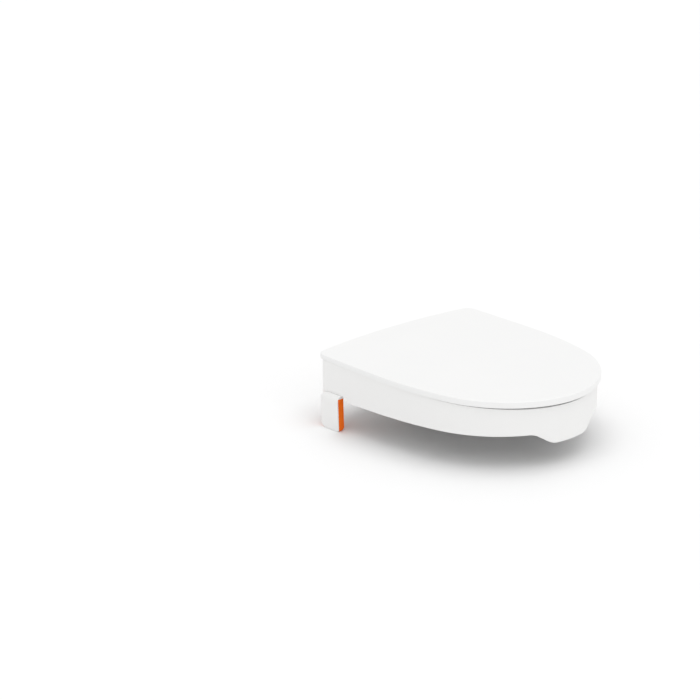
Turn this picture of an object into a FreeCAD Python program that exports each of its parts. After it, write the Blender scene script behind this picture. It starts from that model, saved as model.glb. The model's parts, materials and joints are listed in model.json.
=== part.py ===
import FreeCAD, Part
import math
import os

# Raised toilet seat with a lid and two adjustable side brackets, in millimetres.
# X runs across the seat, with +X on the right when it is seen from in front.
# Y runs front to back, with the front towards -Y.  Z = 0 is the plane of the bowl's rim.
# The origin is the centre of the rear rim pad's underside.

V = FreeCAD.Vector

# Lid
LID_HALF_WIDTH = 186.0
LID_TIP_Y = -405.7
LID_REAR_Y = 30.6
LID_SIDE_R = 8100.0
LID_REAR_R = 1150.0
LID_CORNER_R = 19.0
LID_SKIN = 3.2
LID_RIM = 4.0
LID_TOP_Z = (63.4, 69.4)            # at the tip and at the rear edge
LID_BOTTOM_Z = (51.9, 61.4)
LID_TOP_ROUND = 2.0
LID_BOTTOM_ROUND = 0.4
LID_RIB_PITCH = 40.0
LID_RIB_DROP = 2.0                  # the ribs stop this far above the lid's lower edge
WIDEST_Y = -132.0
TIP_TURN = 13.6                     # degrees through which the arc at the tip turns, each side
SHOULDER_TURN = 75.6                # degrees turned from the tip to the end of the shoulder's arc
SHOULDER_R = 179.5

# Body
BODY_HALF_WIDTH = 184.6
BODY_TIP_Y = -399.2
BODY_REAR_Y = 24.5
BODY_SIDE_R = 30000.0
BODY_CORNER_R = 17.0
# Height of the top, as for the lid, and the radius of the curve by which its front drops below that line
BODY_TOP_Z = (51.55, 61.05, 5000.0)
CURVE_START_Y = -180.0
BODY_TOP_ROUND = 0.6
# The lower edge of the walls, as y and z
BODY_EDGE = ((-500.0, 4.2), (-170.0, 0.8), (-70.0, -1.6), (6.0, -1.6), (12.0, 1.2), (100.0, 1.2))
WALL = 3.5
DECK = 4.0

# Support frame: a moulded frame of ribs inside the body, which carries the rim pads and guides the arms
FRAME_GAP = 0.1
RIB = 2.5
RIB_BOTTOM_Z = 10.0
INNER_HOOP = 3.0
OUTER_HOOP_TOP_Z = 20.0
RIB_COUNT = 28                      # ribs in a full turn round the opening
RADIAL_RIBS_EACH_SIDE = 9
REAR_RIB_X = (19.0, 57.0, 95.0, 137.0, 165.0)
REAR_RAIL_Y = -78.0

# Front lip, which hangs over the front of the bowl
LIP_BOTTOM_Z = -17.0
LIP_FLAT_HALF = 39.5
LIP_TOP_HALF = 71.5
LIP_TOP_Z = 3.3
LIP_BACK_Y = -300.0
LIP_ROUND = 30.0

# Hygiene opening and the splash guard that lines it
OPENING_HALF_X = 105.0
OPENING_HALF_Y = 135.0
OPENING_Y = -210.0
GUARD = 4.0
GUARD_BOTTOM_Z = -14.0
FLANGE = 12.0
FLANGE_THICK = 2.0
GUARD_ROUND = 3.5

# Lid hinge, one at each side of the centre
HINGE_X = 80.0
HINGE_Y = 20.5
HINGE_Z = 53.0
PIN_R = 2.5
RUN_GAP = 0.05
SEAT_GAP = 0.02
BUSH_R = 4.0
LUG_R = 6.0
LUG_HALF = 10.4
LUG_WEB_Y = (15.0, 22.2)
KNUCKLE_FOOT = (16.0, 7.0, 2.5)     # half width, reach to the front of the web, thickness
HINGE_SWEEP_R = 7.8                 # the body's top stays inside this radius behind the hinge
LUG_SIDE_GAP = 0.4
POCKET_R = 10.5
HOUSING_R = 13.5
EAR = 11.5
EAR_END = 3.0

# Side brackets
PLATE_TOP_X = 193.8                 # outer face at the level of the arm's top; the plate leans inwards
PLATE_BOTTOM_X = 191.0
PLATE_THICK = 2.4
PLATE_BOTTOM_Z = -57.5
ARM_TOP_Z = 6.2
ARM_BOTTOM_Z = 3.0
ARM_INNER_X = 60.0
ARM_Y = (-44.0, -2.5)
BEND_R = 9.0
SHOULDER_BOTTOM_Z = 1.0
PLATE_CORNERS = ((ARM_Y[0], 3.0), (ARM_Y[1], 9.0))     # y and radius of the lower corners
PLATE_EDGE_R = 1.2
REAR_ROUND = 10.0                   # rounds the rear of the arm and plate off, seen from the side
REAR_ROUND_X = 145.0
PAD_TOP_X = 179.0                   # inner face of the pad, at its top and its bottom
PAD_BOTTOM_X = 176.8
PAD_GROOVES = 6
PAD_TOE_R = 8.5
NOTCH_Y = (-58.0, ARM_Y[1])
NOTCH_GAP = 0.4
NOTCH_ROUND = 3.0
SLIDE_IN = 10.0
SLIDE_OUT = 30.0

# Screws that hold the frame in the body
FRAME_SCREW_RIBS = (1, 5, 8)        # radial ribs, counted from the front, that carry a screw on each side
FRAME_SCREW_REACH = 24.0            # outwards from the opening's edge
REAR_SCREW = (19.0, -40.0)
FRAME_BOSS_R = 4.5
FRAME_BOSS_Z = 14.0
FRAME_WASHER_R = 8.0
FRAME_SCREW_TOP_Z = 30.0
FRAME_HEAD = 2.0

# Lock knob and its cam
LOCK_X = 115.0
LOCK_Y = sum(ARM_Y) / 2.0
CUP_R = 19.5
CUP_WALL = 3.0
CUP_FLOOR_Z = 50.0
KNOB_R = 18.5
KNOB_Z = 50.5
KNOB_DISC_TOP_Z = 53.5
KNOB_TOP_Z = 57.0
STEM_R = 5.0
STEM_BOSS_R = 9.0
STEM_BOTTOM_Z = 6.6
CAM_R = 9.0
CAM_OFFSET = 1.5
CAM_BOTTOM_Z = 3.3
SLOT_HALF = CAM_R + CAM_OFFSET + 0.4
SLOT_SPARE = 2.0

# Arm guide under each arm
GUIDE_Z = (1.3, 2.8)
GUIDE_X = (66.0, 150.0)
RAIL = 3.0
RAIL_GAP = 0.4
RAIL_BOTTOM_Z = 2.85
SCREW_R = 1.5
SCREW_HEAD_R = 3.2
SCREW_TOP_Z = 14.0
BOSS_R = 4.2
BOSS_TOP_Z = 20.0

# Rubber rim pads: name, x, y, length, turn in degrees
RIM_PAD_TOP_Z = 6.0
RIM_PAD_HALF_WIDTH = 8.0
RIM_PADS = (
    ("rear_side", 150.0, -105.0, 60.0, 90.0),
    ("mid_side", 147.0, -235.0, 60.0, 82.0),
    ("front", 82.0, -350.0, 60.0, 38.0),
)
REAR_PAD_LENGTH = 90.0
STUB_R = 3.0
STUB_TOP_Z = 9.0
PAD_PLATE = 4.0
PAD_PLATE_MARGIN = 3.0

# Lid bumpers: name, x, y
BUMPERS = (("front", 60.0, -368.0), ("side", 148.0, -262.0))
BUMPER_R = 6.0
BUMPER_STEM_R = 2.5
BUMPER_REST_GAP = 0.3

FAR = 400.0                         # reaches past the whole object


def box(x0, x1, y0, y1, z0, z1):
    return Part.makeBox(x1 - x0, y1 - y0, z1 - z0, V(x0, y0, z0))


def rod(radius, x, y, z0, z1):
    return Part.makeCylinder(radius, z1 - z0, V(x, y, z0), V(0, 0, 1))


def bar(radius, x0, x1, y=HINGE_Y, z=HINGE_Z):
    return Part.makeCylinder(radius, x1 - x0, V(x0, y, z), V(1, 0, 0))


def prism(points, run):
    """A polygon swept along one vector."""
    wire = Part.makePolygon(points + [points[0]])
    return Part.Face(wire).extrude(run)


def fuse_all(first, others):
    return first.multiFuse(others).removeSplitter()


def mirror(shape):
    return shape.mirror(V(0, 0, 0), V(1, 0, 0))


def rounded(shape, radius, wanted):
    """Round the edges for which wanted(edge) is true."""
    return shape.makeFillet(radius, [edge for edge in shape.Edges if wanted(edge)])


def ends(edge):
    return [vertex.Point for vertex in edge.Vertexes]


def on_line(edge, x=None, y=None, z=None):
    """Whether both ends of an edge lie at the given coordinates."""
    for point in ends(edge):
        for want, have in ((x, point.x), (y, point.y), (z, point.z)):
            if want is not None and abs(want - have) > 0.01:
                return False
    return True


def level(heights, y):
    """Height at y of a plane given by its heights at the lid's tip and rear edge.

    A third number is the radius by which the surface curves down in front of CURVE_START_Y.
    """
    slope = (heights[1] - heights[0]) / (LID_REAR_Y - LID_TIP_Y)
    straight = heights[0] + slope * (y - LID_TIP_Y)
    if len(heights) == 2 or y >= CURVE_START_Y:
        return straight
    radius = heights[2]
    turn = math.atan(slope)
    centre_y = CURVE_START_Y + radius * math.sin(turn)
    centre_z = level(heights[:2], CURVE_START_Y) - radius * math.cos(turn)
    return centre_z + math.sqrt(radius ** 2 - (y - centre_y) ** 2)


def lowered(heights, drop):
    return (heights[0] - drop, heights[1] - drop) + tuple(heights[2:])


def half_space(heights, end_z):
    """Everything between a sloping surface and the level end_z."""
    front, start, rear = [V(-FAR, y, level(heights, y)) for y in (-500.0, CURVE_START_Y, 100.0)]
    middle_y = (front.y + start.y) / 2.0
    if len(heights) == 3:
        front_edge = Part.Arc(front, V(-FAR, middle_y, level(heights, middle_y)), start).toShape()
    else:
        front_edge = Part.makeLine(front, start)
    outer = Part.makePolygon([rear, V(-FAR, 100, end_z), V(-FAR, -500, end_z), front])
    wire = Part.Wire([front_edge, Part.makeLine(start, rear)] + outer.Edges)
    return Part.Face(wire).extrude(V(2 * FAR, 0, 0))


def meet(centre_a, radius_a, centre_b, radius_b):
    """Where two circles meet, on the right at the rear."""
    line = centre_b - centre_a
    gap = line.Length
    along = (radius_a ** 2 - radius_b ** 2 + gap ** 2) / (2 * gap)
    across = math.sqrt(radius_a ** 2 - along ** 2)
    unit = line / gap
    base = centre_a + unit * along
    side = V(-unit.y, unit.x, 0) * across
    return max((base + side, base - side), key=lambda point: point.y)


def arc(centre, radius, start, end):
    middle = centre + ((start - centre) + (end - centre)).normalize() * radius
    return Part.Arc(start, middle, end).toShape()


def flip(point):
    return V(-point.x, point.y, 0)


def nose_arcs(half_width, tip_y):
    """Centres, radii and joints of three tangent arcs, from the tip round to the widest point."""
    turn_1 = math.radians(TIP_TURN)
    turn_2 = math.radians(SHOULDER_TURN)
    sin_1, cos_1, sin_2, cos_2 = math.sin(turn_1), math.cos(turn_1), math.sin(turn_2), math.cos(turn_2)
    across = half_width - SHOULDER_R * (sin_2 - sin_1)
    along = WIDEST_Y - tip_y - SHOULDER_R * (cos_1 - cos_2)
    scale = sin_1 * cos_2 - (1 - sin_2) * (1 - cos_1)
    tip_r = (across * cos_2 - along * (1 - sin_2)) / scale
    flank_r = (along * sin_1 - across * (1 - cos_1)) / scale
    tip_c = V(0, tip_y + tip_r, 0)
    shoulder_c = tip_c + V(sin_1, -cos_1, 0) * (tip_r - SHOULDER_R)
    flank_c = V(half_width - flank_r, WIDEST_Y, 0)
    turns = (V(sin_1, -cos_1, 0), V(sin_2, -cos_2, 0))
    return ((tip_c, tip_r), (shoulder_c, SHOULDER_R), (flank_c, flank_r)), turns


def slab(half_width, tip_y, side_r, rear_y, corner_r, inset, z0, z1):
    """A D-shaped block of tangent arcs, symmetrical about X = 0."""
    arcs, turns = nose_arcs(half_width, tip_y)
    (tip_c, tip_r), (shoulder_c, shoulder_r), (flank_c, flank_r) = arcs
    side_c = V(half_width - side_r, WIDEST_Y, 0)
    rear_c = V(0, rear_y - LID_REAR_R, 0)
    tip_end = tip_c + turns[0] * (tip_r - inset)
    shoulder_end = shoulder_c + turns[1] * (shoulder_r - inset)
    wide = V(half_width - inset, WIDEST_Y, 0)
    corner = meet(side_c, side_r - inset, rear_c, LID_REAR_R - inset)
    right = [
        (shoulder_c, shoulder_r - inset, tip_end, shoulder_end),
        (flank_c, flank_r - inset, shoulder_end, wide),
        (side_c, side_r - inset, wide, corner),
    ]
    edges = [arc(tip_c, tip_r - inset, flip(tip_end), tip_end)]
    edges += [arc(*pieces) for pieces in right]
    edges.append(arc(rear_c, LID_REAR_R - inset, corner, flip(corner)))
    edges += [arc(flip(centre), radius, flip(end), flip(start))
              for centre, radius, start, end in reversed(right)]
    block = Part.Face(Part.Wire(edges)).extrude(V(0, 0, z1 - z0))
    block.translate(V(0, 0, z0))
    return rounded(block, corner_r - inset, lambda edge: any(
        on_line(edge, point.x, point.y) for point in (corner, flip(corner))))


def lid_slab(inset, z0, z1):
    return slab(LID_HALF_WIDTH, LID_TIP_Y, LID_SIDE_R, LID_REAR_Y, LID_CORNER_R, inset, z0, z1)


def body_slab(inset, z0, z1):
    return slab(BODY_HALF_WIDTH, BODY_TIP_Y, BODY_SIDE_R, BODY_REAR_Y, BODY_CORNER_R, inset, z0, z1)


def rim_rounded(block, heights, radius):
    """Round a block's outline where it meets a sloping plane."""
    return rounded(block, radius, lambda edge: all(
        abs(point.z - level(heights, point.y)) < 0.01 for point in ends(edge)))


def egg(margin, z0, z1):
    """The opening's oval, grown by margin."""
    oval = Part.Ellipse(V(0, OPENING_Y + OPENING_HALF_Y + margin, z0),
                        V(OPENING_HALF_X + margin, OPENING_Y, z0), V(0, OPENING_Y, z0))
    return Part.Face(Part.Wire(oval.toShape())).extrude(V(0, 0, z1 - z0))


def stadium(length, half_width, x, y, turn, z0, z1):
    straight = length / 2.0 - half_width
    block = box(-straight, straight, -half_width, half_width, z0, z1)
    block = block.fuse([rod(half_width, -straight, 0, z0, z1), rod(half_width, straight, 0, z0, z1)])
    block = block.removeSplitter()
    block.rotate(V(0, 0, 0), V(0, 0, 1), turn)
    block.translate(V(x, y, 0))
    return block


def rim_pad_places():
    """Each rim pad as name, x, y, length, turn."""
    places = [("rear", 0.0, 0.0, REAR_PAD_LENGTH, 0.0)]
    for name, x, y, length, turn in RIM_PADS:
        places.append((name + "_right", x, y, length, turn))
        places.append((name + "_left", -x, y, length, 180.0 - turn))
    return places


def stub_points(x, y, length, turn):
    """The two stubs that hold a rim pad in its plate."""
    reach = length / 4.0
    step = V(math.cos(math.radians(turn)), math.sin(math.radians(turn)), 0) * reach
    return [V(x, y, 0) + step, V(x, y, 0) - step]


def screw_points():
    """Guide screws on the right-hand side, outside the two rails."""
    rear_y = ARM_Y[1] + RAIL_GAP + RAIL + 1.6
    front_y = ARM_Y[0] - RAIL_GAP - RAIL - 1.6
    return [V(x, y, 0) for x in (GUIDE_X[0] + 8.0, GUIDE_X[1] - 8.0) for y in (front_y, rear_y)]


def below_edge():
    """Everything under the body's lower edge, with the front lip left standing."""
    profile = [V(-FAR, y, z) for y, z in BODY_EDGE] + [V(-FAR, 100, -90), V(-FAR, -500, -90)]
    below = prism(profile, V(2 * FAR, 0, 0))
    slope = (LIP_TOP_HALF - LIP_FLAT_HALF) / (LIP_TOP_Z - LIP_BOTTOM_Z)
    top_z = LIP_TOP_Z + 25.0
    top_half = LIP_FLAT_HALF + slope * (top_z - LIP_BOTTOM_Z)
    lip = prism([V(-top_half, -500, top_z), V(-LIP_FLAT_HALF, -500, LIP_BOTTOM_Z),
                 V(LIP_FLAT_HALF, -500, LIP_BOTTOM_Z), V(top_half, -500, top_z)], V(0, 500 + LIP_BACK_Y, 0))
    lip = rounded(lip, LIP_ROUND, lambda edge: on_line(edge, None, None, LIP_BOTTOM_Z)
                  and edge.BoundBox.YLength > 100)
    below = below.cut(lip)
    return rounded(below, LIP_ROUND, lambda edge: edge.BoundBox.YLength > 100
                   and abs(abs(edge.CenterOfMass.x) - LIP_TOP_HALF) < 8 and edge.CenterOfMass.z > 0)


def outer_shell():
    """Walls and deck in one, with the front lip, open below."""
    block = body_slab(0.0, LIP_BOTTOM_Z - 20.0, 80.0).cut(half_space(BODY_TOP_Z, 120.0))
    block = rim_rounded(block, BODY_TOP_Z, BODY_TOP_ROUND)
    return block.cut(below_edge()).cut(hollow())


def hollow():
    """The space inside the walls and under the deck."""
    return body_slab(WALL, -60.0, 80.0).cut(half_space(lowered(BODY_TOP_Z, DECK), 120.0))


def hollow_and_deck():
    """The same space, reaching halfway into the deck."""
    return body_slab(WALL, -60.0, 80.0).cut(half_space(lowered(BODY_TOP_Z, DECK / 2), 120.0))


def frame_screw_points():
    """Where the frame's screws stand, on the radial ribs and on two of the rear ones."""
    points = []
    for index in FRAME_SCREW_RIBS:
        turn = math.radians(index * 360.0 / RIB_COUNT)
        edge = 1.0 / math.hypot(math.sin(turn) / OPENING_HALF_X, math.cos(turn) / OPENING_HALF_Y)
        reach = edge + FRAME_SCREW_REACH
        points.append(V(reach * math.sin(turn), OPENING_Y - reach * math.cos(turn), 0))
    points.append(V(REAR_SCREW[0], REAR_SCREW[1], 0))
    return points + [flip(point) for point in points]


def lock_cups():
    cup = rod(CUP_R + CUP_WALL, LOCK_X, LOCK_Y, CUP_FLOOR_Z - CUP_WALL, level(BODY_TOP_Z, LOCK_Y) - 1)
    boss = rod(STEM_BOSS_R, LOCK_X, LOCK_Y, ARM_TOP_Z + 0.7, CUP_FLOOR_Z - 1)
    return [cup, boss, mirror(cup), mirror(boss)]


def lock_bores():
    recess = rod(CUP_R, LOCK_X, LOCK_Y, CUP_FLOOR_Z, 80)
    bore = rod(STEM_R + RUN_GAP, LOCK_X, LOCK_Y, 0, 80)
    return [recess, bore, mirror(recess), mirror(bore)]


def hinge_housings(skin):
    """Solid blocks at the rear edge that carry the hinge pins."""
    ear_out = LUG_HALF + LUG_SIDE_GAP + EAR
    housing = bar(HOUSING_R, HINGE_X - ear_out, HINGE_X + ear_out).common(skin)
    return [housing, mirror(housing)]


def hinge_pockets():
    """Room for the lid's lug, and the groove that the pin drops into from behind."""
    half = LUG_HALF + LUG_SIDE_GAP
    pin_half = half + EAR - EAR_END
    pocket = bar(POCKET_R, HINGE_X - half, HINGE_X + half)
    pin_bed = bar(PIN_R + SEAT_GAP, HINGE_X - pin_half, HINGE_X + pin_half)
    way_in = box(HINGE_X - pin_half, HINGE_X + pin_half, HINGE_Y, BODY_REAR_Y + 5,
                 HINGE_Z - PIN_R - SEAT_GAP, HINGE_Z + PIN_R + SEAT_GAP)
    cutters = [pocket, pin_bed, way_in]
    return cutters + [mirror(cutter) for cutter in cutters]


def rear_corner(radius, x0, x1, top_z):
    """What a round of this radius takes off the rear top corner of the arm and plate."""
    centre_y = ARM_Y[1] - REAR_ROUND
    centre_z = ARM_TOP_Z - REAR_ROUND
    corner = box(x0, x1, centre_y, centre_y + 2 * REAR_ROUND, centre_z, top_z)
    return corner.cut(Part.makeCylinder(radius, x1 - x0, V(x0, centre_y, centre_z), V(1, 0, 0)))


def wall_notch():
    """The gap in the side wall's lower edge that the bracket's arm passes through."""
    inner_x = BODY_HALF_WIDTH - 3 * WALL
    top_z = ARM_TOP_Z + NOTCH_GAP
    notch = box(inner_x, FAR, NOTCH_Y[0], NOTCH_Y[1], -20, top_z)
    notch = rounded(notch, NOTCH_ROUND, lambda edge: on_line(edge, None, NOTCH_Y[0], top_z))
    notch = notch.cut(rear_corner(REAR_ROUND + NOTCH_GAP, inner_x - 1, FAR + 1, 20))
    return [notch, mirror(notch)]


def hinge_sweep():
    """Room behind the hinge for the lid's underside as the lid swings open."""
    room = box(-FAR, FAR, HINGE_Y, BODY_REAR_Y + 5, HINGE_Z, 90)
    return room.cut(bar(HINGE_SWEEP_R, -FAR - 1, FAR + 1))


def seat_body():
    """Walls, deck and front lip, open below."""
    skin = body_slab(0.0, -30.0, 80.0).cut(half_space(lowered(BODY_TOP_Z, 1.0), 120.0))
    bosses = [rod(FRAME_BOSS_R, point.x, point.y, FRAME_BOSS_Z, 80).common(hollow_and_deck())
              for point in frame_screw_points()]
    body = fuse_all(outer_shell(), lock_cups() + hinge_housings(skin) + bosses)
    rebate = egg(FLANGE + FRAME_GAP, 0, 120).cut(half_space(lowered(BODY_TOP_Z, FLANGE_THICK), 0))
    holes = [rod(SCREW_R + SEAT_GAP, point.x, point.y, 0, FRAME_SCREW_TOP_Z + 1)
             for point in frame_screw_points()]
    way_through = egg(GUARD + FRAME_GAP, -80, 120)
    return body.cut([way_through, rebate, hinge_sweep()] + hinge_pockets() + lock_bores()
                    + wall_notch() + holes)


def splash_guard():
    """The liner of the hygiene opening: a flange let into the deck and a skirt that hangs into the bowl."""
    skirt = egg(GUARD, GUARD_BOTTOM_Z, 120)
    flange = egg(FLANGE, 0, 120).cut(half_space(lowered(BODY_TOP_Z, FLANGE_THICK), 0))
    guard = skirt.fuse(flange).removeSplitter()
    guard = guard.cut(half_space(BODY_TOP_Z, 200)).cut(egg(0.0, -80, 200))
    guard = rounded(guard, GUARD_ROUND, lambda edge: is_inner_oval(edge) and edge.BoundBox.ZMin > 0)
    return rounded(guard, GUARD / 2 - 0.2, lambda edge: on_line(edge, None, None, GUARD_BOTTOM_Z))


def is_inner_oval(edge):
    """Whether an edge runs round the opening's oval, in one piece or in several."""
    reach = [math.hypot(point.x / OPENING_HALF_X, (point.y - OPENING_Y) / OPENING_HALF_Y)
             for point in edge.discretize(5)]
    upright = edge.BoundBox.XLength + edge.BoundBox.YLength < 1.0
    return not upright and max(abs(value - 1.0) for value in reach) < 0.001


def ribs(room):
    """Radial ribs round the opening, and straight ones across the rear."""
    plates = []
    for index in range(-RADIAL_RIBS_EACH_SIDE, RADIAL_RIBS_EACH_SIDE + 1):
        rib = box(-RIB / 2, RIB / 2, -OPENING_HALF_Y - 100, -OPENING_HALF_X + 5, RIB_BOTTOM_Z, 80)
        rib.rotate(V(0, 0, 0), V(0, 0, 1), index * 360.0 / RIB_COUNT)
        rib.translate(V(0, OPENING_Y, 0))
        plates.append(rib)
    for x in REAR_RIB_X:
        front_y = REAR_RAIL_Y if x > OPENING_HALF_X else OPENING_Y
        plate = box(x - RIB / 2, x + RIB / 2, front_y, BODY_REAR_Y, RIB_BOTTOM_Z, 80)
        plates.extend([plate, mirror(plate)])
    plates.append(box(-FAR, FAR, REAR_RAIL_Y - RIB, REAR_RAIL_Y, RIB_BOTTOM_Z, 80))
    return [rib.common(room) for rib in plates]


def arm_rails(room):
    """Two rails on each side that guide the bracket's arm, with bosses for the guide's screws."""
    pieces = []
    for y0 in (ARM_Y[0] - RAIL_GAP - RAIL, ARM_Y[1] + RAIL_GAP):
        pieces.append(box(ARM_INNER_X - 4, BODY_HALF_WIDTH, y0, y0 + RAIL, RAIL_BOTTOM_Z, 80).common(room))
    for point in screw_points():
        pieces.append(rod(BOSS_R, point.x, point.y, RAIL_BOTTOM_Z, BOSS_TOP_Z))
    return pieces + [mirror(piece) for piece in pieces]


def support_frame():
    """Ribs between two hoops, with the plates of the rim pads and the rails of the arms."""
    inside = body_slab(WALL + FRAME_GAP, -60.0, 80.0)
    under_deck = half_space(lowered(BODY_TOP_Z, DECK + FRAME_GAP), 120.0)
    room = inside.cut(under_deck).cut(egg(GUARD + 2 * FRAME_GAP, -80, 120))
    inner_hoop = egg(GUARD + INNER_HOOP, RIB_BOTTOM_Z, 80).common(room)
    outer_hoop = body_slab(WALL + FRAME_GAP, RIB_BOTTOM_Z, OUTER_HOOP_TOP_Z).cut(
        body_slab(WALL + FRAME_GAP + RIB, 0, 80))
    plates = []
    for name, x, y, length, turn in rim_pad_places():
        plate = stadium(length + 2 * PAD_PLATE_MARGIN, RIM_PAD_HALF_WIDTH + PAD_PLATE_MARGIN,
                        x, y, turn, RIM_PAD_TOP_Z, RIM_PAD_TOP_Z + PAD_PLATE + 0.5)
        plates.append(plate.common(room))
    washers = [rod(FRAME_WASHER_R, point.x, point.y, RIB_BOTTOM_Z, FRAME_BOSS_Z - FRAME_GAP)
               for point in frame_screw_points()]
    frame = fuse_all(inner_hoop, [outer_hoop] + ribs(room) + arm_rails(room) + plates + washers)
    cutters = wall_notch()
    for point in frame_screw_points():
        cutters.append(rod(SCREW_R + SEAT_GAP, point.x, point.y, 0, 80))
        cutters.append(rod(FRAME_BOSS_R + FRAME_GAP, point.x, point.y, FRAME_BOSS_Z - FRAME_GAP, 80))
    for side in (-1, 1):
        x = side * LOCK_X
        cutters.append(rod(CUP_R + CUP_WALL + FRAME_GAP, x, LOCK_Y, CUP_FLOOR_Z - CUP_WALL - FRAME_GAP, 80))
        cutters.append(rod(STEM_BOSS_R + FRAME_GAP, x, LOCK_Y, 0, 80))
        half = LUG_HALF + LUG_SIDE_GAP + EAR + FRAME_GAP
        cutters.append(bar(HOUSING_R + FRAME_GAP, side * HINGE_X - half, side * HINGE_X + half))
        for point in screw_points():
            cutters.append(rod(SCREW_R + SEAT_GAP, side * point.x, point.y, 0, SCREW_TOP_Z + 1))
    for name, x, y, length, turn in rim_pad_places():
        for point in stub_points(x, y, length, turn):
            cutters.append(rod(STUB_R + SEAT_GAP, point.x, point.y, 0, STUB_TOP_Z + 0.5))
    for cutter in cutters:
        frame = frame.cut(cutter)
    return max(frame.Solids, key=lambda solid: solid.Volume)


def frame_screws():
    screws = []
    for point in frame_screw_points():
        head = rod(SCREW_HEAD_R, point.x, point.y, RIB_BOTTOM_Z - FRAME_HEAD, RIB_BOTTOM_Z)
        head = rounded(head, 0.8, lambda edge: on_line(edge, None, None, RIB_BOTTOM_Z - FRAME_HEAD))
        shank = rod(SCREW_R, point.x, point.y, RIB_BOTTOM_Z - 0.5, FRAME_SCREW_TOP_Z)
        screw = head.fuse(shank).removeSplitter()
        screws.append(screw.cut(rod(1.2, point.x, point.y, 0, RIB_BOTTOM_Z - FRAME_HEAD / 2)))
    return Part.makeCompound(screws)


def lid_ribs(room):
    """A grid of low ribs under the lid's skin."""
    plates = []
    for index in range(-4, 5):
        x = index * LID_RIB_PITCH
        plates.append(box(x - RIB / 2, x + RIB / 2, LID_TIP_Y, LID_REAR_Y, 30, 90))
    for index in range(11):
        y = LID_TIP_Y + (index + 0.5) * LID_RIB_PITCH
        plates.append(box(-LID_HALF_WIDTH, LID_HALF_WIDTH, y - RIB / 2, y + RIB / 2, 30, 90))
    return [plate.common(room) for plate in plates]


def lid():
    block = lid_slab(0.0, 40, 90).cut(half_space(LID_TOP_Z, 120)).cut(half_space(LID_BOTTOM_Z, 0))
    block = rim_rounded(block, LID_TOP_Z, LID_TOP_ROUND)
    block = rim_rounded(block, LID_BOTTOM_Z, LID_BOTTOM_ROUND)
    under_skin = half_space(lowered(LID_TOP_Z, LID_SKIN), 120)
    recess = lid_slab(LID_RIM, 30, 90).cut(under_skin)
    rib_room = recess.cut(half_space(lowered(LID_BOTTOM_Z, -LID_RIB_DROP), 0))
    top_room = half_space(lowered(LID_TOP_Z, 2.0), 120)
    added = lid_ribs(rib_room)
    for side in (-1, 1):
        for name, bumper_x, y in BUMPERS:
            boss = rod(BUMPER_R + 1.5, side * bumper_x, y, level(LID_BOTTOM_Z, y) - 1, 90)
            added.append(boss.cut(top_room).cut(half_space(LID_BOTTOM_Z, 0)))
    shape = fuse_all(block.cut(recess), added)
    seat = knuckle_feet(SEAT_GAP)
    cutters = [seat, mirror(seat)]
    for side in (-1, 1):
        for name, bumper_x, y in BUMPERS:
            z = level(LID_BOTTOM_Z, y)
            cutters.append(rod(BUMPER_STEM_R + SEAT_GAP, side * bumper_x, y, z - 1, z + 5))
    return shape.cut(cutters)


def knuckle_feet(gap):
    """The part of a knuckle inside the lid: its web and its foot, grown by gap."""
    half, reach, thick = KNUCKLE_FOOT
    x0, x1 = HINGE_X - LUG_HALF - gap, HINGE_X + LUG_HALF + gap
    y0, y1 = LUG_WEB_Y[0] - gap, LUG_WEB_Y[1] + gap
    under_skin = lowered(LID_TOP_Z, LID_SKIN)
    web = box(x0, x1, y0, y1, HINGE_Z + LUG_R, 90)
    foot = box(HINGE_X - half - gap, HINGE_X + half + gap, y0 - reach, y1, 40, 90)
    foot = foot.cut(half_space(lowered(under_skin, thick + gap), 0))
    return web.fuse(foot).cut(half_space(under_skin, 120)).removeSplitter()


def hinge_knuckle():
    """The lug that hangs from the lid into its pocket in the body; its foot is welded under the lid's skin."""
    lug = bar(LUG_R, HINGE_X - LUG_HALF, HINGE_X + LUG_HALF)
    neck = box(HINGE_X - LUG_HALF, HINGE_X + LUG_HALF, LUG_WEB_Y[0], LUG_WEB_Y[1],
               HINGE_Z, HINGE_Z + LUG_R + 1)
    knuckle = fuse_all(lug, [neck, knuckle_feet(0.0)])
    return knuckle.cut(bar(BUSH_R + SEAT_GAP, HINGE_X - LUG_HALF - 1, HINGE_X + LUG_HALF + 1))


def lid_bumper(x, y):
    """A rubber button that fills the gap between the lid and the deck, with its stem in the lid."""
    low = level(BODY_TOP_Z, y) + BUMPER_REST_GAP
    button = rod(BUMPER_R, x, y, low - 3, 90).cut(half_space(lowered(BODY_TOP_Z, -BUMPER_REST_GAP), 0))
    button = button.cut(half_space(LID_BOTTOM_Z, 120))
    stem = rod(BUMPER_STEM_R, x, y, level(LID_BOTTOM_Z, y) - 0.5, level(LID_BOTTOM_Z, y) + 4.5)
    return button.fuse(stem).removeSplitter()


def hinge_pin():
    half = LUG_HALF + LUG_SIDE_GAP + EAR - EAR_END - 0.1
    pin = bar(PIN_R, HINGE_X - half, HINGE_X + half)
    return pin.makeChamfer(0.4, [edge for edge in pin.Edges if len(edge.Vertexes) == 1])


def hinge_bush():
    sleeve = bar(BUSH_R, HINGE_X - LUG_HALF, HINGE_X + LUG_HALF)
    return sleeve.cut(bar(PIN_R + RUN_GAP, HINGE_X - LUG_HALF - 1, HINGE_X + LUG_HALF + 1))


def hinge_caps():
    """Two small plugs that close the pin's groove from behind."""
    half = LUG_HALF + LUG_SIDE_GAP
    plugs = []
    for x0 in (HINGE_X - half - EAR + EAR_END, HINGE_X + half):
        plug = box(x0 + 0.05, x0 + EAR - EAR_END - 0.05, HINGE_Y, BODY_REAR_Y - 0.1,
                   HINGE_Z - PIN_R, HINGE_Z + PIN_R)
        plugs.append(plug.cut(bar(PIN_R + 0.1, HINGE_X - FAR, HINGE_X + FAR)))
    return Part.makeCompound([solid for plug in plugs for solid in plug.Solids
                              if solid.CenterOfMass.y > HINGE_Y])


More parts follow.
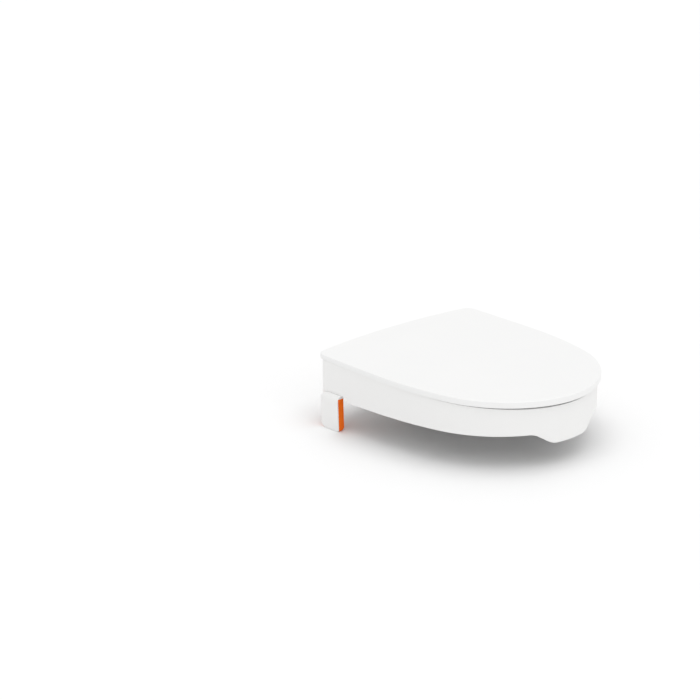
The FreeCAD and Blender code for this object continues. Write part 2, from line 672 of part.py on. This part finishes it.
def plate_x(z, inset=0.0):
    """X of the leaning plate's outer face at height z, or of a face that far inside it."""
    share = (ARM_TOP_Z - z) / (ARM_TOP_Z - PLATE_BOTTOM_Z)
    return PLATE_TOP_X + share * (PLATE_BOTTOM_X - PLATE_TOP_X) - inset


def with_lower_corners(shape):
    """The plate or its pad with the two lower corners rounded."""
    for y, radius in PLATE_CORNERS:
        shape = rounded(shape, radius, lambda edge: on_line(edge, None, y, PLATE_BOTTOM_Z))
    return shape


def is_outer_edge(edge):
    """Whether an edge goes round the outer face of the plate and of the bend above it."""
    if isinstance(edge.Curve, Part.Circle) and abs(edge.Curve.Radius - BEND_R) < 0.01:
        return True
    return edge.BoundBox.YLength < 40 and all(abs(point.x - plate_x(point.z)) < 0.01 for point in ends(edge))


def bracket():
    """An arm that slides under the seat, with a thick shoulder and a plate beside the bowl."""
    outline = [
        (ARM_INNER_X, ARM_BOTTOM_Z), (ARM_INNER_X, ARM_TOP_Z), (PLATE_TOP_X, ARM_TOP_Z),
        (PLATE_BOTTOM_X, PLATE_BOTTOM_Z), (PLATE_BOTTOM_X - PLATE_THICK, PLATE_BOTTOM_Z),
        (plate_x(SHOULDER_BOTTOM_Z, PLATE_THICK), SHOULDER_BOTTOM_Z), (PAD_TOP_X, SHOULDER_BOTTOM_Z),
        (PAD_TOP_X, ARM_BOTTOM_Z)]
    shape = prism([V(x, ARM_Y[0], z) for x, z in outline], V(0, ARM_Y[1] - ARM_Y[0], 0))
    shape = rounded(shape, BEND_R, lambda edge: on_line(edge, PLATE_TOP_X, None, ARM_TOP_Z))
    shape = with_lower_corners(shape)
    shape = rounded(shape, PLATE_EDGE_R, is_outer_edge)
    shape = shape.cut(rear_corner(REAR_ROUND, REAR_ROUND_X, FAR, 20))
    slot_x = (LOCK_X - SLIDE_OUT - SLOT_SPARE, LOCK_X + SLIDE_IN + SLOT_SPARE)
    slot = box(slot_x[0], slot_x[1], LOCK_Y - SLOT_HALF, LOCK_Y + SLOT_HALF, 0, 9)
    return shape.cut(slot.fuse([rod(SLOT_HALF, x, LOCK_Y, 0, 9) for x in slot_x]))


def bracket_pad():
    """The soft pad that grips the side of the bowl, between the shoulder and the plate's lower edge."""
    outline = [(PAD_TOP_X, SHOULDER_BOTTOM_Z), (plate_x(SHOULDER_BOTTOM_Z, PLATE_THICK), SHOULDER_BOTTOM_Z),
               (PLATE_BOTTOM_X - PLATE_THICK, PLATE_BOTTOM_Z), (PAD_BOTTOM_X, PLATE_BOTTOM_Z)]
    pad = prism([V(x, ARM_Y[0], z) for x, z in outline], V(0, ARM_Y[1] - ARM_Y[0], 0))
    pad = with_lower_corners(pad).cut(rear_corner(REAR_ROUND, REAR_ROUND_X, FAR, 20))
    return pad.cut(pad_toe()).cut(pad_grooves())


def pad_toe():
    """What is taken off the pad's lower inner edge to round it."""
    size = PAD_TOE_R
    x0 = PAD_BOTTOM_X
    corner = box(x0 - 5, x0 + size, ARM_Y[0] - 1, ARM_Y[1] + 1, PLATE_BOTTOM_Z - 1, PLATE_BOTTOM_Z + size)
    centre = V(x0 + size, ARM_Y[0] - 5, PLATE_BOTTOM_Z + size)
    return corner.cut(Part.makeCylinder(size, 60, centre, V(0, 1, 0)))


def pad_grooves():
    """Shallow level grooves across the pad's gripping face."""
    height = SHOULDER_BOTTOM_Z - PLATE_BOTTOM_Z
    pitch = (height - PAD_TOE_R) / (PAD_GROOVES + 1)
    grooves = []
    for index in range(1, PAD_GROOVES + 1):
        z = PLATE_BOTTOM_Z + PAD_TOE_R + index * pitch
        face_x = PAD_BOTTOM_X + (PAD_TOP_X - PAD_BOTTOM_X) * (z - PLATE_BOTTOM_Z) / height
        grooves.append(box(face_x - 3, face_x + 0.9, ARM_Y[0] + 4, ARM_Y[1] - 4, z - 1, z + 1))
    return grooves


def arm_guide():
    """A steel strip that holds the arm up against the seat."""
    points = screw_points()
    margin = SCREW_HEAD_R + 1.3
    plate = box(GUIDE_X[0], GUIDE_X[1], points[0].y - margin, points[1].y + margin, GUIDE_Z[0], GUIDE_Z[1])
    plate = rounded(plate, 4.0, lambda edge: edge.BoundBox.ZLength > 1)
    holes = [Part.makeCone(SCREW_HEAD_R + SEAT_GAP, SCREW_R + SEAT_GAP, GUIDE_Z[1] - GUIDE_Z[0],
                           V(point.x, point.y, GUIDE_Z[0]), V(0, 0, 1)) for point in points]
    return plate.cut(holes)


def guide_screws():
    screws = []
    for point in screw_points():
        head = Part.makeCone(SCREW_HEAD_R, SCREW_R, GUIDE_Z[1] - GUIDE_Z[0], V(point.x, point.y, GUIDE_Z[0]),
                             V(0, 0, 1))
        screw = head.fuse(rod(SCREW_R, point.x, point.y, GUIDE_Z[1] - 0.1, SCREW_TOP_Z)).removeSplitter()
        screws.append(screw.cut(rod(1.2, point.x, point.y, GUIDE_Z[0] - 1, GUIDE_Z[0] + 0.8)))
    return Part.makeCompound(screws)


def lock_knob():
    """A low round knob with a finger bar, on a stem that reaches down to the arm."""
    disc = rod(KNOB_R, LOCK_X, LOCK_Y, KNOB_Z, KNOB_DISC_TOP_Z)
    disc = rounded(disc, 1.0, lambda edge: on_line(edge, None, None, KNOB_DISC_TOP_Z))
    grip = stadium(2 * KNOB_R - 5.0, 3.5, LOCK_X, LOCK_Y, 0, KNOB_DISC_TOP_Z - 1, KNOB_TOP_Z)
    grip = rounded(grip, 1.2, lambda edge: on_line(edge, None, None, KNOB_TOP_Z))
    stem = rod(STEM_R, LOCK_X, LOCK_Y, STEM_BOTTOM_Z, KNOB_Z + 1)
    knob = fuse_all(disc, [grip, stem])
    return knob.cut(rod(SCREW_R + SEAT_GAP, LOCK_X, LOCK_Y, 0, SCREW_TOP_Z + 5))


def cam_disc():
    """An off-centre disc in the arm's slot, which presses on the slot's side when locked."""
    disc = rod(CAM_R, LOCK_X, LOCK_Y - CAM_OFFSET, CAM_BOTTOM_Z, STEM_BOTTOM_Z)
    sink = Part.makeCone(SCREW_HEAD_R + SEAT_GAP, SCREW_R + SEAT_GAP, 2.0, V(LOCK_X, LOCK_Y, CAM_BOTTOM_Z),
                         V(0, 0, 1))
    return disc.cut([sink, rod(SCREW_R + SEAT_GAP, LOCK_X, LOCK_Y, 0, 9)])


def cam_screw():
    head = Part.makeCone(SCREW_HEAD_R, SCREW_R, 2.0, V(LOCK_X, LOCK_Y, CAM_BOTTOM_Z), V(0, 0, 1))
    screw = head.fuse(rod(SCREW_R, LOCK_X, LOCK_Y, CAM_BOTTOM_Z + 1.9, SCREW_TOP_Z + 4)).removeSplitter()
    return screw.cut(rod(1.2, LOCK_X, LOCK_Y, CAM_BOTTOM_Z - 1, CAM_BOTTOM_Z + 0.9))


def knob_washer():
    washer = rod(KNOB_R - 8.0, LOCK_X, LOCK_Y, CUP_FLOOR_Z, KNOB_Z - 0.1)
    return washer.cut(rod(STEM_R + 0.3, LOCK_X, LOCK_Y, 0, 80))


def rim_pad(x, y, length, turn):
    """A rubber foot on the bowl's rim, with two stubs pushed into the body."""
    pad = stadium(length, RIM_PAD_HALF_WIDTH, x, y, turn, 0.0, RIM_PAD_TOP_Z)
    pad = rounded(pad, 1.5, lambda edge: on_line(edge, None, None, 0.0))
    stubs = [rod(STUB_R, point.x, point.y, RIM_PAD_TOP_Z - 1, STUB_TOP_Z) for point in
             stub_points(x, y, length, turn)]
    return fuse_all(pad, stubs)


def export(shape, name):
    good = shape.isValid() and len(shape.Solids) > 0
    print("%-26s solids %d  %.1f cm3%s" % (name, len(shape.Solids), shape.Volume / 1000.0,
                                           "" if good else "  NOT VALID"))
    whole = shape.Solids[0] if len(shape.Solids) == 1 else shape
    whole.exportStep("parts/%s.step" % name)


def main():
    os.makedirs("parts", exist_ok=True)
    export(seat_body(), "seat_body")
    export(splash_guard(), "splash_guard")
    export(support_frame(), "support_frame")
    export(frame_screws(), "frame_screws")
    export(lid(), "lid")
    pairs = {
        "hinge_pin": hinge_pin(), "hinge_bush": hinge_bush(), "hinge_caps": hinge_caps(),
        "hinge_knuckle": hinge_knuckle(),
        "bracket": bracket(), "bracket_pad": bracket_pad(), "arm_guide": arm_guide(),
        "guide_screws": guide_screws(), "lock_knob": lock_knob(), "cam_disc": cam_disc(),
        "cam_screw": cam_screw(), "knob_washer": knob_washer(),
    }
    for name, shape in pairs.items():
        export(shape, name + "_right")
        export(mirror(shape), name + "_left")
    for name, x, y in BUMPERS:
        export(lid_bumper(x, y), "lid_bumper_%s_right" % name)
        export(lid_bumper(-x, y), "lid_bumper_%s_left" % name)
    for name, x, y, length, turn in rim_pad_places():
        export(rim_pad(x, y, length, turn), "rim_pad_" + name)


main()
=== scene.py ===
import json
import math
import bpy
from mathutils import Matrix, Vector


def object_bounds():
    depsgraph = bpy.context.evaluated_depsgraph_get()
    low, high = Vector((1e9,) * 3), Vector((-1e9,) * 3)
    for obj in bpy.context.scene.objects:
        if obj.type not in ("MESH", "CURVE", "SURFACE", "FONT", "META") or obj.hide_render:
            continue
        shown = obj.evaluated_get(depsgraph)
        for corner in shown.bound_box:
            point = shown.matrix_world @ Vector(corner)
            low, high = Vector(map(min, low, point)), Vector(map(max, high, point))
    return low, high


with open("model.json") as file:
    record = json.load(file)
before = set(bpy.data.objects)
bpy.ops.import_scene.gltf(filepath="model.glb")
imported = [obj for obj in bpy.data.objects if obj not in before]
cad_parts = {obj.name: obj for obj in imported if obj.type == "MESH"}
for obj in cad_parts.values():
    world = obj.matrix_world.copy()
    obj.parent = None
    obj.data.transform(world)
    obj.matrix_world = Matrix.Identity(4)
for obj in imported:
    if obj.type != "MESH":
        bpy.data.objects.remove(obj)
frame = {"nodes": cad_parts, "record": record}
CAD_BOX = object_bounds()

MM = 0.001

# Camera: where it looks, from which side, and how far away it stands
TARGET = Vector((-47.45, 80.85, 24.71)) * MM
AZIMUTH = math.radians(-42.904)
ELEVATION = math.radians(19.123)
DISTANCE = 3881.98 * MM
SENSOR = 36.0
FOCAL_RATIO = 22.0 / 7.0            # focal length over the sensor's width
LENS = SENSOR * FOCAL_RATIO

# Lights: where each sun shines from, its strength, and how wide it looks in degrees
WORLD_STRENGTH = 0.83
SUNS = (("top", (0.0, -0.4, 3.0), 0.76, 60.0), ("front", (-0.3, -2.6, 1.2), 0.18, 35.0))

# Floor
FLOOR_SIZE = 12.0
FLOOR_GAP = 0.2 * MM                # below the object's lowest point

# Noise values gather round the middle, so ramps run over this part of their range
NOISE_LOW = 0.3
NOISE_HIGH = 0.7


# ---------------------------------------------------------------- node helpers

def link(tree, source, target):
    tree.links.new(source, target)


def set_shader(shader, values):
    """Constant numbers and colours, set on the shader's own sockets."""
    for name, value in values.items():
        shader.inputs[name].default_value = value


def noise(tree, coords, scale, detail=3.0, roughness=0.5):
    node = tree.nodes.new("ShaderNodeTexNoise")
    node.inputs["Scale"].default_value = scale
    node.inputs["Detail"].default_value = detail
    node.inputs["Roughness"].default_value = roughness
    link(tree, coords, node.inputs["Vector"])
    return node.outputs["Fac"]


def spread(tree, value, low, high):
    """The useful part of a noise's range, stretched to run from low to high."""
    node = tree.nodes.new("ShaderNodeMapRange")
    node.inputs["From Min"].default_value = NOISE_LOW
    node.inputs["From Max"].default_value = NOISE_HIGH
    node.inputs["To Min"].default_value = low
    node.inputs["To Max"].default_value = high
    link(tree, value, node.inputs["Value"])
    return node.outputs["Result"]


def mix_colours(tree, share, first, second):
    node = tree.nodes.new("ShaderNodeMix")
    node.data_type = "RGBA"
    link(tree, share, node.inputs["Factor"])
    for socket, colour in ((node.inputs["A"], first), (node.inputs["B"], second)):
        if isinstance(colour, tuple):
            socket.default_value = (*colour, 1.0)
        else:
            link(tree, colour, socket)
    return node.outputs["Result"]


def bump(tree, height, strength, distance, normal=None):
    node = tree.nodes.new("ShaderNodeBump")
    node.inputs["Strength"].default_value = strength
    node.inputs["Distance"].default_value = distance
    link(tree, height, node.inputs["Height"])
    if normal is not None:
        link(tree, normal, node.inputs["Normal"])
    return node.outputs["Normal"]


def new_material(name):
    """An empty material: its tree, its shader and the object coordinates."""
    material = bpy.data.materials.new(name)
    material.use_nodes = True
    tree = material.node_tree
    shader = tree.nodes["Principled BSDF"]
    coords = tree.nodes.new("ShaderNodeTexCoord").outputs["Object"]
    return material, tree, shader, coords


def moulded_plastic(name, colour, shade, roughness, grain_scale, grain_depth, settings):
    """Moulded plastic: slow changes of tone and gloss, and a fine even grain."""
    material, tree, shader, coords = new_material(name)
    set_shader(shader, settings)
    slow = noise(tree, coords, 9.0, 2.0)
    tint = mix_colours(tree, spread(tree, slow, 0.0, 1.0), colour, shade)
    link(tree, tint, shader.inputs["Base Color"])
    cloud = noise(tree, coords, 45.0, 4.0, 0.6)
    link(tree, spread(tree, cloud, roughness[0], roughness[1]), shader.inputs["Roughness"])
    grain = noise(tree, coords, grain_scale, 2.0)
    flow = noise(tree, coords, 14.0, 1.0)
    waved = bump(tree, flow, 0.15, 0.4 * MM)
    link(tree, bump(tree, grain, 0.35, grain_depth, waved), shader.inputs["Normal"])
    return material


def rubber(name, colour, shade, roughness, shine):
    """Soft moulded rubber: matte, with a fine stipple and a little dust in it."""
    material, tree, shader, coords = new_material(name)
    set_shader(shader, {"Specular IOR Level": shine})
    tone = noise(tree, coords, 60.0, 4.0, 0.6)
    tint = mix_colours(tree, spread(tree, tone, 0.0, 1.0), colour, shade)
    link(tree, tint, shader.inputs["Base Color"])
    link(tree, spread(tree, noise(tree, coords, 120.0), roughness - 0.06, roughness + 0.06),
         shader.inputs["Roughness"])
    stipple = noise(tree, coords, 1400.0, 2.0)
    link(tree, bump(tree, stipple, 0.5, 0.06 * MM), shader.inputs["Normal"])
    return material


def brushed_steel(name):
    """Stainless steel with fine lines along X."""
    material, tree, shader, coords = new_material(name)
    set_shader(shader, {"Metallic": 1.0})
    mapping = tree.nodes.new("ShaderNodeMapping")
    mapping.inputs["Scale"].default_value = (0.03, 1.0, 1.0)
    link(tree, coords, mapping.inputs["Vector"])
    lines = noise(tree, mapping.outputs["Vector"], 2600.0, 3.0)
    tint = mix_colours(tree, lines, (0.55, 0.55, 0.54), (0.70, 0.70, 0.69))
    link(tree, tint, shader.inputs["Base Color"])
    link(tree, spread(tree, lines, 0.24, 0.42), shader.inputs["Roughness"])
    link(tree, bump(tree, lines, 0.3, 0.02 * MM), shader.inputs["Normal"])
    return material


MATERIALS = {
    "lid_white": moulded_plastic(
        "lid_white", (0.875, 0.875, 0.870), (0.865, 0.866, 0.862), (0.30, 0.38), 2600.0,
        0.008 * MM, {"IOR": 1.49}),
    "body_white": moulded_plastic(
        "body_white", (0.872, 0.870, 0.862), (0.860, 0.859, 0.852), (0.38, 0.48), 2200.0,
        0.010 * MM, {"IOR": 1.49, "Specular IOR Level": 0.3}),
    "orange_pad": rubber("orange_pad", (0.98, 0.180, 0.013), (0.96, 0.165, 0.012), 0.60, 0.10),
    "grey_rubber": rubber("grey_rubber", (0.17, 0.175, 0.18), (0.14, 0.145, 0.15), 0.62, 0.35),
    "natural_nylon": moulded_plastic(
        "natural_nylon", (0.74, 0.71, 0.63), (0.70, 0.67, 0.59), (0.38, 0.48), 1800.0,
        0.03 * MM, {"IOR": 1.53}),
    "knob_grey": moulded_plastic(
        "knob_grey", (0.38, 0.40, 0.42), (0.35, 0.37, 0.39), (0.42, 0.52), 1500.0,
        0.05 * MM, {"IOR": 1.49}),
    "stainless_steel": brushed_steel("stainless_steel"),
}


def dress(part, slot):
    part.data.materials.clear()
    part.data.materials.append(MATERIALS[slot])


def dress_cad_nodes():
    for subpart in frame["record"]["subparts"]:
        dress(frame["nodes"][subpart["node"]], subpart["material_slot"])


# ---------------------------------------------------------------- stage

def make_floor():
    """A plain pale floor just under the object's lowest point."""
    bpy.ops.mesh.primitive_plane_add(size=FLOOR_SIZE, location=(0, 0, CAD_BOX[0][2] - FLOOR_GAP))
    floor = bpy.context.object
    floor.name = "floor"
    material, tree, shader, coords = new_material("pale_floor")
    set_shader(shader, {"Roughness": 0.7, "Specular IOR Level": 0.2})
    tone = noise(tree, coords, 3.0)
    link(tree, mix_colours(tree, tone, (0.93, 0.93, 0.93), (0.95, 0.95, 0.95)), shader.inputs["Base Color"])
    floor.data.materials.append(material)


def make_sun(name, place, strength, width):
    """A broad, even light that shines from a place towards the origin."""
    data = bpy.data.lights.new(name, "SUN")
    data.energy = strength
    data.angle = math.radians(width)
    lamp = bpy.data.objects.new(name, data)
    bpy.context.scene.collection.objects.link(lamp)
    lamp.location = place
    lamp.rotation_euler = Vector(place).to_track_quat("Z", "Y").to_euler()


def make_lights():
    world = bpy.data.worlds.new("studio")
    world.use_nodes = True
    background = world.node_tree.nodes["Background"]
    background.inputs["Color"].default_value = (1.0, 1.0, 1.0, 1.0)
    background.inputs["Strength"].default_value = WORLD_STRENGTH
    bpy.context.scene.world = world
    for name, place, strength, width in SUNS:
        make_sun(name, place, strength, width)


def set_tones():
    """Plain tones, so that white plastic stays white."""
    bpy.context.scene.view_settings.view_transform = "Standard"


def make_camera():
    back = Vector((math.sin(AZIMUTH) * math.cos(ELEVATION), -math.cos(AZIMUTH) * math.cos(ELEVATION),
                   math.sin(ELEVATION)))
    data = bpy.data.cameras.new("camera")
    data.sensor_width = SENSOR
    data.lens = LENS
    camera = bpy.data.objects.new("camera", data)
    bpy.context.scene.collection.objects.link(camera)
    camera.location = TARGET + back * DISTANCE
    camera.rotation_euler = back.to_track_quat("Z", "Y").to_euler()
    bpy.context.scene.camera = camera


make_camera()
set_tones()
make_lights()
make_floor()
dress_cad_nodes()
